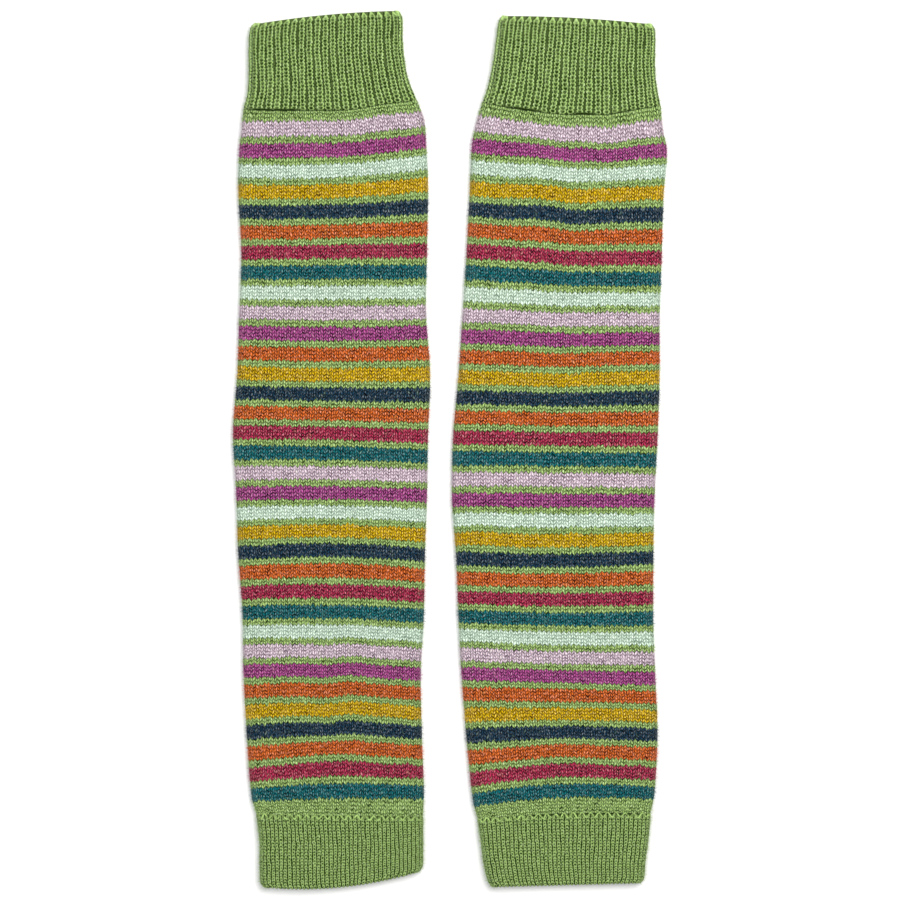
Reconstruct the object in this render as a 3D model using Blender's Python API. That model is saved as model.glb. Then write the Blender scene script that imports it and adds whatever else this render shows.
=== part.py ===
"""A pair of knitted leg warmers, laid flat beside each other.

Each leg warmer is one circular-knit tube in three stretches: a ribbed top cuff, the plain-knit leg
and a fine, dense bottom cuff. Laid down, the front of the tube lies on its back, the knit turns
round a fold at each side, and both ends are open. X runs across the pair, Y towards the top cuffs
and Z up. The pair stands on Z = 0, and lengths are metres.
"""

import math
from collections import namedtuple

import bmesh
import bpy

MM = 0.001

# The knit: 84 needles round, so 42 columns of stitches on each face. Two columns make one rib.
COLUMNS_PER_FACE = 42
RIBS_PER_FACE = COLUMNS_PER_FACE // 2
TOP_CUFF_COURSES = 26
LEG_COURSES = 210
BOTTOM_CUFF_COURSES = 24

SEAM_GAP = 0.3 * MM  # between a cuff and the leg
LEAST_HOLLOW = 0.3 * MM  # left between front and back under the deepest trough

# The wall is measured in the valleys between ribs. The hollow lies between front and back, and
# opens a little towards a free end.
Stretch = namedtuple("Stretch", "wall first_hollow last_hollow ribs rib_height steps_per_rib courses")
TOP_CUFF = Stretch(1.7 * MM, 2.4 * MM, 1.2 * MM, RIBS_PER_FACE, 0.9 * MM, 3, (0, 1.5, 8, 17, 26))
LEG = Stretch(1.8 * MM, 1.2 * MM, 1.2 * MM, 0, 0.0, 0, None)
BOTTOM_CUFF = Stretch(2.1 * MM, 1.2 * MM, 2.4 * MM, COLUMNS_PER_FACE, 0.4 * MM, 2, (0, 12, 22.5, 24))

# Steps round the plain knit and round each underside
FOLD_STEPS = 3
FACE_STEPS = 12
UNDER_FOLD_STEPS = 2
UNDER_FACE_STEPS = 6

# A row of the outline, in millimetres: the course counted from the stretch's upper edge, where its
# two folds lie across the pair, and how high the course lies at the left fold, in the middle and
# at the right fold.
Row = namedtuple("Row", "course left right left_y middle_y right_y")

LEFT_TOP_CUFF = (
    Row(0, -94.0, -24.0, 204.0, 208.5, 210.5),
    Row(1.5, -96.0, -22.5, 201.5, 206.0, 207.5),
    Row(8, -97.0, -22.0, 191.5, 195.0, 197.5),
    Row(15, -97.0, -21.0, 181.0, 183.0, 186.0),
    Row(21, -97.5, -19.0, 171.5, 172.5, 177.0),
    Row(26, -99.5, -15.5, 163.5, 163.5, 169.0),
)
LEFT_LEG = (
    Row(0, -99.5, -15.5, 163.5, 163.5, 169.0),
    Row(5, -100.5, -12.0, 153.5, 155.0, 159.5),
    Row(11, -101.5, -11.0, 143.5, 144.0, 148.5),
    Row(23, -102.0, -10.0, 124.0, 124.0, 127.5),
    Row(41, -100.5, -10.5, 94.5, 95.0, 96.0),
    Row(59, -101.5, -11.0, 66.0, 65.5, 66.5),
    Row(77, -102.5, -9.0, 37.0, 36.0, 36.5),
    Row(95, -104.5, -10.0, 8.5, 8.0, 6.5),
    Row(113, -103.0, -10.5, -21.0, -20.5, -22.0),
    Row(131, -102.0, -11.5, -49.5, -48.0, -50.5),
    Row(149, -100.0, -12.0, -78.0, -77.5, -79.5),
    Row(167, -99.5, -13.5, -106.0, -105.5, -107.5),
    Row(185, -98.0, -13.0, -135.5, -133.5, -135.5),
    Row(203, -95.7, -12.0, -165.5, -163.5, -164.0),
    Row(210, -93.0, -12.5, -175.0, -175.5, -176.0),
)
LEFT_BOTTOM_CUFF = (
    Row(0, -93.0, -12.5, -175.0, -175.5, -176.0),
    Row(8, -91.7, -12.5, -187.0, -187.0, -185.0),
    Row(16, -91.5, -12.5, -199.0, -198.0, -193.0),
    Row(22.5, -90.8, -13.0, -207.5, -207.0, -199.5),
    Row(24, -89.2, -14.5, -209.5, -209.5, -202.0),
)
RIGHT_TOP_CUFF = (
    Row(0, 24.5, 97.0, 208.0, 207.0, 204.0),
    Row(1.5, 23.0, 98.5, 205.5, 204.0, 201.5),
    Row(8, 21.5, 99.0, 196.5, 193.5, 192.0),
    Row(15, 20.0, 99.0, 186.0, 181.5, 181.5),
    Row(21, 18.0, 100.0, 176.0, 170.5, 173.0),
    Row(26, 15.0, 101.5, 167.0, 161.5, 165.5),
)
RIGHT_LEG = (
    Row(0, 15.0, 101.5, 167.0, 161.5, 165.5),
    Row(5, 12.0, 102.5, 156.5, 152.0, 154.0),
    Row(11, 10.0, 104.5, 146.0, 142.5, 143.5),
    Row(23, 9.0, 103.0, 125.5, 122.5, 123.5),
    Row(41, 7.5, 102.0, 95.5, 92.5, 92.0),
    Row(59, 5.5, 101.0, 64.5, 63.0, 62.5),
    Row(77, 3.5, 101.0, 35.0, 34.0, 35.0),
    Row(95, 1.0, 100.0, 6.0, 5.5, 5.0),
    Row(113, 0.5, 98.5, -24.0, -24.0, -24.5),
    Row(131, 2.5, 98.0, -52.5, -53.0, -51.5),
    Row(149, 3.5, 98.0, -79.5, -81.0, -80.5),
    Row(167, 5.0, 99.0, -107.0, -108.5, -109.5),
    Row(185, 7.3, 100.0, -137.0, -135.5, -136.5),
    Row(203, 10.5, 98.5, -167.5, -163.5, -164.5),
    Row(210, 13.0, 96.5, -177.0, -174.5, -174.5),
)
RIGHT_BOTTOM_CUFF = (
    Row(0, 13.0, 96.5, -177.0, -174.5, -174.5),
    Row(8, 14.3, 95.5, -187.5, -186.0, -186.0),
    Row(16, 15.9, 94.0, -198.5, -197.5, -197.0),
    Row(22.5, 18.2, 93.0, -207.0, -206.0, -205.5),
    Row(24, 20.0, 91.5, -209.5, -208.5, -207.5),
)

# A soft ridge (height above 0) or trough of the front, in millimetres: its middle, the angle of its
# run from X in degrees, its reach along and across the run, and its height.
Fold = namedtuple("Fold", "x y angle along across height")
FOLDS = (
    Fold(-57, 156, 2, 60, 6, 0.9),  # puff of the left leg under its ribs
    Fold(-37, 187, 80, 22, 9, -0.6),
    Fold(-26, 144, 60, 35, 9, 0.8),
    Fold(-52, 96, 20, 18, 8, -0.5),
    Fold(-90, 24, 10, 12, 10, -0.5),
    Fold(-36, -67, 60, 16, 7, -0.4),
    Fold(-62, -117, 88, 40, 5, -0.6),  # lengthwise pucker low on the left leg
    Fold(-53, -112, 86, 34, 6, 0.8),
    Fold(58, 153, -2, 60, 6, 0.9),  # puff of the right leg under its ribs
    Fold(76, 148, 90, 18, 5, -0.7),
    Fold(53, 115, 85, 28, 5, 0.8),
    Fold(67, 91, 10, 20, 8, -0.5),
    Fold(43, 10, 75, 45, 14, 0.5),
    Fold(15, -163, 60, 18, 6, 0.6),
)

# Colours are linear RGB.
GREEN_WOOL = (0.216, 0.342, 0.094, 1.0)
WOOL_ROUGHNESS = 0.9

LEG_WARMERS = {
    "left": (LEFT_TOP_CUFF, LEFT_LEG, LEFT_BOTTOM_CUFF),
    "right": (RIGHT_TOP_CUFF, RIGHT_LEG, RIGHT_BOTTOM_CUFF),
}


def clear_scene():
    for thing in list(bpy.data.objects):
        bpy.data.objects.remove(thing, do_unlink=True)


def slope(rows, index):
    """How fast each length of a row changes with the course, taken over its two neighbours."""
    before, after = rows[max(index - 1, 0)], rows[min(index + 1, len(rows) - 1)]
    span = after.course - before.course
    return [(b - a) / span for a, b in zip(before[1:], after[1:])]


def row_at(rows, course):
    """The row at any course, on a smooth curve through the rows given."""
    index = 0
    while index < len(rows) - 2 and rows[index + 1].course < course:
        index += 1
    first, last = rows[index], rows[index + 1]
    span = last.course - first.course
    share = (course - first.course) / span
    first_weight = 1 - 3 * share**2 + 2 * share**3
    first_pull = span * (share - 2 * share**2 + share**3)
    last_pull = span * (share**3 - share**2)
    lengths = [
        a * first_weight + b * (1 - first_weight) + m * first_pull + n * last_pull
        for a, b, m, n in zip(first[1:], last[1:], slope(rows, index), slope(rows, index + 1))
    ]
    return Row(course, *lengths)


def height_across(row, share):
    """How high a course lies, in millimetres, at a share of the way from left fold to right fold."""
    left = row.left_y * (1 - share) * (1 - 2 * share)
    middle = row.middle_y * 4 * share * (1 - share)
    right = row.right_y * share * (2 * share - 1)
    return left + middle + right


def lift(x, y):
    """How far the ridges and troughs move the front up, in metres, at a point in millimetres."""
    total = 0.0
    for fold in FOLDS:
        angle = math.radians(fold.angle)
        run = (x - fold.x) * math.cos(angle) + (y - fold.y) * math.sin(angle)
        off = (y - fold.y) * math.cos(angle) - (x - fold.x) * math.sin(angle)
        total += fold.height * math.exp(-((run / fold.along) ** 2) - (off / fold.across) ** 2)
    return total * MM


def plain_front():
    """Steps over the front of plain knit, each as the turn of its surface from the left fold's tip
    and the share of the flat face that is passed."""
    quarter = math.pi / 2
    left = [(quarter * step / FOLD_STEPS, 0.0) for step in range(FOLD_STEPS)]
    flat = [(quarter, step / FACE_STEPS) for step in range(FACE_STEPS)]
    right = [(quarter + quarter * step / FOLD_STEPS, 1.0) for step in range(FOLD_STEPS)]
    return left + flat + right


def ribbed_front(width, height, count):
    """Equal steps over the front of a ribbed cuff, folds included, in the form of plain_front."""
    radius = height / 2
    fold = radius * math.pi / 2
    flat = width - height
    steps = []
    for index in range(count):
        passed = (2 * fold + flat) * index / count
        if passed < fold:
            steps.append((passed / radius, 0.0))
        elif passed <= fold + flat:
            steps.append((math.pi / 2, (passed - fold) / flat))
        else:
            steps.append((math.pi / 2 + (passed - fold - flat) / radius, 1.0))
    return steps


def underside():
    """Steps over the back, from the right fold's tip to the left one's, in the same form."""
    quarter = math.pi / 2
    right = [(math.pi + quarter * step / UNDER_FOLD_STEPS, 1.0) for step in range(UNDER_FOLD_STEPS)]
    flat = [(3 * quarter, 1 - step / UNDER_FACE_STEPS) for step in range(UNDER_FACE_STEPS)]
    left = [(3 * quarter + quarter * step / UNDER_FOLD_STEPS, 0.0) for step in range(UNDER_FOLD_STEPS)]
    return right + flat + left


def hollow_at(stretch, rows, course):
    share = (course - rows[0].course) / (rows[-1].course - rows[0].course)
    return stretch.first_hollow + (stretch.last_hollow - stretch.first_hollow) * share


def rings_at(mesh, stretch, rows, course, shift):
    """The outer and the inner ring of vertices at one course, moved along Y by shift."""
    row = row_at(rows, course)
    width = (row.right - row.left) * MM
    hollow = hollow_at(stretch, rows, course)
    height = 2 * stretch.wall + hollow
    if stretch.ribs:
        front = ribbed_front(width, height, stretch.ribs * stretch.steps_per_rib)
    else:
        front = plain_front()
    outer, inner = [], []
    for index, (turn, share) in enumerate(front + underside()):
        raised = max(math.sin(turn), 0.0)
        ridge = 0.0
        if stretch.ribs:
            ridge = stretch.rib_height * math.sin(math.pi * index / stretch.steps_per_rib) ** 2 * raised
        for ring, radius in ((outer, height / 2 + ridge), (inner, hollow / 2)):
            across = height / 2 - radius * math.cos(turn) + (width - height) * share
            y = height_across(row, across / width)
            rise = max(lift(row.left + across / MM, y), LEAST_HOLLOW - hollow)
            up = height / 2 + radius * math.sin(turn) + rise * raised
            ring.append(mesh.verts.new((row.left * MM + across, y * MM + shift, up)))
    return outer, inner


def skin(mesh, near, far):
    """Joins two rings of as many vertices by a band of four-sided faces."""
    for here in range(len(near)):
        after = (here + 1) % len(near)
        mesh.faces.new((near[here], near[after], far[after], far[here]))


def ring_courses(stretch, rows):
    """The courses that get a ring: the stretch's own, or each row and the middle between two."""
    if stretch.courses:
        return list(stretch.courses)
    middles = [(a.course + b.course) / 2 for a, b in zip(rows, rows[1:])]
    return sorted([row.course for row in rows] + middles)


def build_stretch(name, stretch, rows, first_shift, last_shift, material):
    """One stretch of a leg warmer as a flattened tube that is open at both ends. Its first and last
    courses are moved along Y by their shifts, to keep the gap at a seam."""
    mesh = bmesh.new()
    courses = ring_courses(stretch, rows)
    shifts = [0.0] * len(courses)
    shifts[0], shifts[-1] = first_shift, last_shift
    rings = [rings_at(mesh, stretch, rows, c, shift) for c, shift in zip(courses, shifts)]
    for (outer, inner), (next_outer, next_inner) in zip(rings, rings[1:]):
        skin(mesh, outer, next_outer)
        skin(mesh, inner, next_inner)
    for outer, inner in (rings[0], rings[-1]):
        skin(mesh, outer, inner)
    bmesh.ops.recalc_face_normals(mesh, faces=mesh.faces[:])
    data = bpy.data.meshes.new(name)
    mesh.to_mesh(data)
    mesh.free()
    data.materials.append(material)
    data.shade_smooth()
    data.set_sharp_from_angle(angle=math.radians(50))
    piece = bpy.data.objects.new(name, data)
    bpy.context.collection.objects.link(piece)
    return piece


def wool(name):
    material = bpy.data.materials.new(name)
    material.use_nodes = True
    shader = material.node_tree.nodes["Principled BSDF"]
    shader.inputs["Base Color"].default_value = GREEN_WOOL
    shader.inputs["Roughness"].default_value = WOOL_ROUGHNESS
    shader.inputs["Metallic"].default_value = 0.0
    return material


def build_leg_warmer(side, top_rows, leg_rows, bottom_rows):
    half = SEAM_GAP / 2
    stretches = (
        ("top_cuff", TOP_CUFF, top_rows, 0.0, half),
        ("leg", LEG, leg_rows, -half, half),
        ("bottom_cuff", BOTTOM_CUFF, bottom_rows, -half, 0.0),
    )
    for part, stretch, rows, first_shift, last_shift in stretches:
        name = f"{side}_{part}"
        build_stretch(name, stretch, rows, first_shift, last_shift, wool(f"{name}_wool"))


def main():
    clear_scene()
    for side, tables in LEG_WARMERS.items():
        build_leg_warmer(side, *tables)


if __name__ == "__main__":
    main()
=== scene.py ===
"""The knitted surface of a pair of striped leg warmers, laid flat on a pale floor.

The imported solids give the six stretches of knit: a ribbed top cuff, a plain leg and a fine bottom
cuff on each side. Each stretch is covered here by a closed shell on the same flattened tube, whose
outside is raised stitch by stitch. Lengths are metres, X runs across the pair, Y towards the top
cuffs and Z up.
"""

import math
from collections import namedtuple
from functools import partial

import bpy
import numpy as np
from bpy.props import FloatProperty, FloatVectorProperty, IntProperty, PointerProperty
from bpy.types import NodeSocket, Operator, Panel, PropertyGroup
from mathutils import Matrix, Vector


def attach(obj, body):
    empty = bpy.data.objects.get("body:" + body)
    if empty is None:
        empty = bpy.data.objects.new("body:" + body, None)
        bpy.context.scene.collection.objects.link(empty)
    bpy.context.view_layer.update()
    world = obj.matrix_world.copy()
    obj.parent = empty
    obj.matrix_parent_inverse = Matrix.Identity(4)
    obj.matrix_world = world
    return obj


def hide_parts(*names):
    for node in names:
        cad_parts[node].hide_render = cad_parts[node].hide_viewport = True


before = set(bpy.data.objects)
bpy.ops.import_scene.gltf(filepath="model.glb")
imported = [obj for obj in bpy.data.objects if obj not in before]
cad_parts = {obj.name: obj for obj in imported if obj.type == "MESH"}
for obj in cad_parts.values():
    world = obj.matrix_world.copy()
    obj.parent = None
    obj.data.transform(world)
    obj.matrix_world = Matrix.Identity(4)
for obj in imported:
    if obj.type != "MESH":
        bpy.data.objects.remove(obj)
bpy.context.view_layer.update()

bl_info = {
    "name": "Striped leg warmers",
    "version": (1, 0, 0),
    "blender": (4, 5, 0),
    "location": "3D View > Sidebar > Leg warmers",
    "description": "Knits a pair of striped leg warmers over their packed frame, stitch by stitch",
    "category": "Add Mesh",
}

MM = 0.001
SIDES = ("left", "right")
FACE_WALES = 42  # stitch columns, or wales, on the front and again on the back
ROUND_WALES = 2 * FACE_WALES
FOLD_WALES = 2  # wales past each fold, on the back, that are still knitted in full
STRIPE_COURSES = 4
REPEAT_COURSES = 6  # a stripe and the two ground courses under it
FIRST_STRIPE = 3  # ground courses above the first stripe
STRIPES = 34
STRIPE_ORDER = (
    "pink magenta mint mustard navy orange raspberry teal mint "
    "pink magenta orange mustard navy orange raspberry teal"
).split()

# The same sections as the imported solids: the course counted from a stretch's upper edge, where its
# two folds lie across the pair, and how high the course lies at the left fold, in the middle and
# at the right fold, in millimetres.
Row = namedtuple("Row", "course left right left_y middle_y right_y")
ROWS = {}
ROWS["left_top_cuff"] = (
    Row(0, -94, -24, 204, 208.5, 210.5),
    Row(1.5, -96, -22.5, 201.5, 206, 207.5),
    Row(8, -97, -22, 191.5, 195, 197.5),
    Row(15, -97, -21, 181, 183, 186),
    Row(21, -97.5, -19, 171.5, 172.5, 177),
    Row(26, -99.5, -15.5, 163.5, 163.5, 169),
)
ROWS["left_leg"] = (
    Row(0, -99.5, -15.5, 163.5, 163.5, 169),
    Row(5, -100.5, -12, 153.5, 155, 159.5),
    Row(11, -101.5, -11, 143.5, 144, 148.5),
    Row(23, -102, -10, 124, 124, 127.5),
    Row(41, -100.5, -10.5, 94.5, 95, 96),
    Row(59, -101.5, -11, 66, 65.5, 66.5),
    Row(77, -102.5, -9, 37, 36, 36.5),
    Row(95, -104.5, -10, 8.5, 8, 6.5),
    Row(113, -103, -10.5, -21, -20.5, -22),
    Row(131, -102, -11.5, -49.5, -48, -50.5),
    Row(149, -100, -12, -78, -77.5, -79.5),
    Row(167, -99.5, -13.5, -106, -105.5, -107.5),
    Row(185, -98, -13, -135.5, -133.5, -135.5),
    Row(203, -95.7, -12, -165.5, -163.5, -164),
    Row(210, -93, -12.5, -175, -175.5, -176),
)
ROWS["left_bottom_cuff"] = (
    Row(0, -93, -12.5, -175, -175.5, -176),
    Row(8, -91.7, -12.5, -187, -187, -185),
    Row(16, -91.5, -12.5, -199, -198, -193),
    Row(22.5, -90.8, -13, -207.5, -207, -199.5),
    Row(24, -89.2, -14.5, -209.5, -209.5, -202),
)
ROWS["right_top_cuff"] = (
    Row(0, 24.5, 97, 208, 207, 204),
    Row(1.5, 23, 98.5, 205.5, 204, 201.5),
    Row(8, 21.5, 99, 196.5, 193.5, 192),
    Row(15, 20, 99, 186, 181.5, 181.5),
    Row(21, 18, 100, 176, 170.5, 173),
    Row(26, 15, 101.5, 167, 161.5, 165.5),
)
ROWS["right_leg"] = (
    Row(0, 15, 101.5, 167, 161.5, 165.5),
    Row(5, 12, 102.5, 156.5, 152, 154),
    Row(11, 10, 104.5, 146, 142.5, 143.5),
    Row(23, 9, 103, 125.5, 122.5, 123.5),
    Row(41, 7.5, 102, 95.5, 92.5, 92),
    Row(59, 5.5, 101, 64.5, 63, 62.5),
    Row(77, 3.5, 101, 35, 34, 35),
    Row(95, 1, 100, 6, 5.5, 5),
    Row(113, 0.5, 98.5, -24, -24, -24.5),
    Row(131, 2.5, 98, -52.5, -53, -51.5),
    Row(149, 3.5, 98, -79.5, -81, -80.5),
    Row(167, 5, 99, -107, -108.5, -109.5),
    Row(185, 7.3, 100, -137, -135.5, -136.5),
    Row(203, 10.5, 98.5, -167.5, -163.5, -164.5),
    Row(210, 13, 96.5, -177, -174.5, -174.5),
)
ROWS["right_bottom_cuff"] = (
    Row(0, 13, 96.5, -177, -174.5, -174.5),
    Row(8, 14.3, 95.5, -187.5, -186, -186),
    Row(16, 15.9, 94, -198.5, -197.5, -197),
    Row(22.5, 18.2, 93, -207, -206, -205.5),
    Row(24, 20, 91.5, -209.5, -208.5, -207.5),
)

# A soft ridge (height above 0) or trough of the front, in millimetres: its middle, the angle of its
# run from X in degrees, its reach along and across the run, and its height.
Fold = namedtuple("Fold", "x y angle along across height")
FOLDS = (
    Fold(-57, 156, 2, 60, 6, 0.9),  # puff of the left leg under its ribs
    Fold(-37, 187, 80, 22, 9, -0.6),
    Fold(-26, 144, 60, 35, 9, 0.8),
    Fold(-52, 96, 20, 18, 8, -0.5),
    Fold(-90, 24, 10, 12, 10, -0.5),
    Fold(-36, -67, 60, 16, 7, -0.4),
    Fold(-62, -117, 88, 40, 5, -0.6),  # lengthwise pucker low on the left leg
    Fold(-53, -112, 86, 34, 6, 0.8),
    Fold(58, 153, -2, 60, 6, 0.9),  # puff of the right leg under its ribs
    Fold(76, 148, 90, 18, 5, -0.7),
    Fold(53, 115, 85, 28, 5, 0.8),
    Fold(67, 91, 10, 20, 8, -0.5),
    Fold(43, 10, 75, 45, 14, 0.5),
    Fold(15, -163, 60, 18, 6, 0.6),
)
LEAST_HOLLOW = 0.3 * MM  # that a trough leaves between front and back

# A place where the courses are pulled out of line, in millimetres: its middle, its reach along X
# and along Y, and how far it lifts the courses towards the top cuffs.
Drift = namedtuple("Drift", "x y along_x along_y lift")
DRIFTS = (
    Drift(-19, 161, 9, 13, -1.2),
    Drift(-48, 158, 14, 16, -1.2),
    Drift(53, 150, 12, 18, -0.8),
    Drift(15, -43, 12, 14, 1.2),
    Drift(-57, -148, 14, 12, 1.2),
    Drift(76, 150, 9, 16, -1.6),
    Drift(43, 118, 12, 30, 1.0),
    Drift(60, 118, 10, 30, -0.8),
    Drift(-60, -120, 7, 30, -0.8),
    Drift(-47, -112, 9, 30, 0.9),
    Drift(12, -166, 10, 16, -0.5),
    Drift(53, -148, 13, 14, 1.0),
    Drift(53, 50, 14, 60, -0.6),
    Drift(-19, 82, 14, 26, -0.6),
)

# A stretch of a seam whose crease takes heavy painted shade, in millimetres: its middle, its reach
# along X, and the darkness of its painted shade from 0 to 1. The rest of a seam gets a faint line of
# painted shade.
Crease = namedtuple("Crease", "x y along_x dark")
CREASE_SHADES = (
    Crease(-84, 164, 15, 0.9),
    Crease(-58, 163, 9, 0.5),
    Crease(35, 164, 11, 0.8),
    Crease(64, 161, 7, 0.8),
    Crease(83, 163, 6, 0.6),
    Crease(-28, -176, 16, 0.6),
    Crease(46, -176, 10, 0.9),
    Crease(76, -174, 18, 1.0),
)
CREASE_REACH = 16 * MM  # how far along Y a crease is looked for
FAINT_CREASE_SHADE = 0.2  # painted shade of the rest of a seam
SEAM_LINE = (0.15, 0.6)  # courses from a seam where its painted crease shade starts to fade, and where it is gone

# How a stretch is knitted: its wall in the gaps, the hollow at its first and last course, its
# courses, points across each wale, points along each course, the share of a rib's width that its
# raised wale takes (one half where all wales are raised), and, in courses, how far the front's end
# is cut back between two raised wales and how far the whole end is drawn in, at the first and at the
# last course.
Knit = namedtuple(
    "Knit",
    "wall first_hollow last_hollow courses wale_points course_points rib_share "
    "first_cut last_cut first_in last_in",
    defaults=(0.5, 0.0, 0.0, 0.0, 0.0),
)
RIB_KNIT = Knit(2.6 * MM, 2.4 * MM, 1.2 * MM, 26, 6, 4, rib_share=0.81, first_cut=1.15, first_in=0.3)
PLAIN_KNIT = Knit(1.8 * MM, 1.2 * MM, 1.2 * MM, 210, 4, 2)
CUFF_KNIT = Knit(2.5 * MM, 1.2 * MM, 2.4 * MM, 24, 6, 4, last_cut=0.45, last_in=0.3)
CUFF_RELIEFS = (0.35 * MM, 0.45 * MM)  # yarn relief and column relief of a bottom cuff
INNER_COURSES = 12  # rings of the plain inside of a wall
LIP = 0.3  # courses that a rounded end reaches past its last stitch
BACK_SHOWS = 0.1  # courses by which the back reaches out past the front's cut back end
BACK_RISE = 0.4  # power that lets the back reach out in full soon after a fold
CUT_FADE = 1.5  # courses over which the cut back end fades out
IN_FADE = 7.0  # courses over which the drawn in end fades out
FREE_FADE = 1.5  # courses over which the stitches next to an end grow free to lean

# The row of yarn that links a bottom cuff to its leg
LINK_COURSE = 0.3  # course of the bottom cuff where it lies
LINK_DEPTH = 0.5 * MM  # of the yarn's middle under the skin of the cloth
LINK_LIFT = 0.35 * MM  # of the yarn on the front
LINK_RISE = 0.3  # power that lets the yarn lift soon after a fold
LINK_SIDES = 6  # of the yarn's round section
LINK_STEPS = 4  # pieces of the smooth yarn from one point of its path to the next

# A hole between yarns: the darkness of its painted shade from 0 to 1, or its depth where it is a dip
# in the yarn, and its reach across in wales and along in courses; and a line between yarns: the
# darkness of its painted shade and its reach to either side.
Hole = namedtuple("Hole", "dark across along")
Line = namedtuple("Line", "dark reach")

# The gaps of a knit, darkened with painted shade: the eye of a loop, the hole where four loops meet,
# the line between two wales, the line between two courses, how much one stitch's tone differs from
# the next, the courses where the stretch is joined to another one and its crease takes painted shade,
# how much painted light its crests get for standing proud, how much painted shade darkens the wales
# that lie back in a rib, and the share of its first course over which the painted gap shade fades in,
# because its loops end there in free tips.
Gaps = namedtuple("Gaps", "eye meet wale course spread seams lit sunk tips", defaults=(0.0, 0.0))
RIB_GAPS = Gaps(
    eye=Hole(0.91, 0.44, 0.78),
    meet=Hole(0.95, 0.3, 0.42),
    wale=Line(0.95, 0.09),
    course=Line(0.3, 0.24),
    spread=0.07,
    seams=(26,),
    lit=1.04,
    sunk=0.97,
    tips=0.9,
)
PLAIN_GAPS = Gaps(
    eye=Hole(0.76, 0.26, 0.5),
    meet=Hole(0.86, 0.3, 0.5),
    wale=Line(0.81, 0.19),
    course=Line(0.92, 0.33),
    spread=0.2,
    seams=(0, 210),
    lit=0.92,
)
CUFF_GAPS = Gaps(
    eye=Hole(1.0, 0.38, 0.44),
    meet=Hole(1.0, 0.42, 0.56),
    wale=Line(1.0, 0.24),
    course=Line(0.45, 0.28),
    spread=0.1,
    seams=(0,),
    lit=1.0,
)
GAP_CORE = 0.35  # share of a gap's reach that takes the full painted shade
GAP_LIGHT = 0.33  # share of the light that finds its way out of a gap, in its painted shade
MOST_OPEN = 1.15  # painted shade of the widest gaps against the usual ones
LEAST_SUNK_SHADE = 0.85  # painted shade of the palest sunk stitches against the darkest
INSIDE_SHADE = 0.8  # painted shade on the inside of a wall, which no lamp reaches
LUMINANCE = (0.2126, 0.7152, 0.0722)  # how bright each primary is to the eye
RAISED_EYE = Hole(0.9, 0.36, 0.55)  # the eye of a loop as a dip in the yarn's height
RAISED_EYE_CORE = 0.2  # share of its reach that is cut out in full
LEG_EDGE = 0.45  # height of a yarn leg at its edge against its middle

FIBRE_CLUMP = 0.55 * MM  # distance between clumps of fibres on the yarn
STITCH_SPAN = 2.0 * MM  # width of a wale
FIBRE_END_AND_SHEEN = "#EDF0E6"  # undyed white of the ends of fibres, also painted on the crests as sheen
FUZZ_PALENESS = 0.2  # share of undyed white in a loose fibre's colour
FUZZ_SPREAD = 5.0  # bake map's size of a fibre, in wales and courses for each millimetre
FUZZ_FOLD = (0.5, 3.0)  # wales from a fold where the fuzz starts to thin, and where it is thin
FUZZ_FACING = 0.05  # least upward part of the way out of the cloth where fibres stand
BAKE_SHARE, BAKE_EDGE = 0.95, (0.03, 0.02, 0.0)  # share of the bake map in use, and its start

# Noises: scale, detail and roughness
UNEVEN = (0.9, 2.0, 0.6)  # stitches that differ from their neighbours
SLOW = (1.0, 1.0, 0.5)  # whole wales that wander
WANDER_SCALE = (0.45, 0.13, 1.0)  # how wales and courses are scaled before SLOW is laid on them
BROAD_WAVES = (38.0, 2.0, 0.5)  # rises of the cloth, 26 mm apart
FIBRES = (1 / FIBRE_CLUMP, 3.0, 0.65)
LINK_PATCHES = (1 / STITCH_SPAN, 2.0, 0.6)
LINK_STRAYS = (1 / STITCH_SPAN, 1.0, 0.5)
CARD_MOTTLE = (9.0, 4.0, 0.5)
# Noises laid over wales and courses: how these are scaled first, and the noise
MAP_NOISES = (
    ((1.0, 0.15, 1.0), (1.0, 1.0, 0.5)),  # wales that sit higher or lower for a few courses
    ((4.5, 1.0, 1.0), (1.0, 2.0, 0.5)),  # strands along a leg
    ((0.3, 0.6, 1.0), (1.0, 3.0, 0.6)),  # patches of yarn
)

FLOOR_HALF, FLOOR_DROP = 3.0, 0.2 * MM  # half the floor's side, and how far it lies under z = 0
SKY_STRENGTH = 0.3  # of the even white light from all round

# Kinds of nodes, and settings that several of them share
MATH = "ShaderNodeMath"
VECTOR_MATH = "ShaderNodeVectorMath"
MAP_RANGE = "ShaderNodeMapRange"
PLUS = (MATH, "ADD")
MINUS = (MATH, "SUBTRACT")
TIMES = (MATH, "MULTIPLY")
TIMES_PLUS = (MATH, "MULTIPLY_ADD")
LARGER = (MATH, "MAXIMUM")
WHOLE = (MATH, "FLOOR")
MODULO = (MATH, "FLOORED_MODULO")
PINGPONG = (MATH, "PINGPONG")
SINE = (MATH, "SINE")
ABSOLUTE = (MATH, "ABSOLUTE")
OVER = (MATH, "DIVIDE")
VECTOR_PLUS = (VECTOR_MATH, "ADD")
VECTOR_MINUS = (VECTOR_MATH, "SUBTRACT")
VECTOR_TIMES = (VECTOR_MATH, "MULTIPLY")
VECTOR_TIMES_PLUS = (VECTOR_MATH, "MULTIPLY_ADD")
SCALED = (VECTOR_MATH, "SCALE")
NOISE = "ShaderNodeTexNoise"
WHITE_NOISE = "ShaderNodeTexWhiteNoise"
COMBINE = "ShaderNodeCombineXYZ"
SEPARATE = "ShaderNodeSeparateXYZ"
MAPPING = "ShaderNodeMapping"
COORDINATES = "ShaderNodeTexCoord"
ATTRIBUTE = "ShaderNodeAttribute"
MIX = "ShaderNodeMix"
PRINCIPLED = "ShaderNodeBsdfPrincipled"
MATERIAL_OUTPUT = "ShaderNodeOutputMaterial"
READ = "GeometryNodeInputNamedAttribute"
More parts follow.
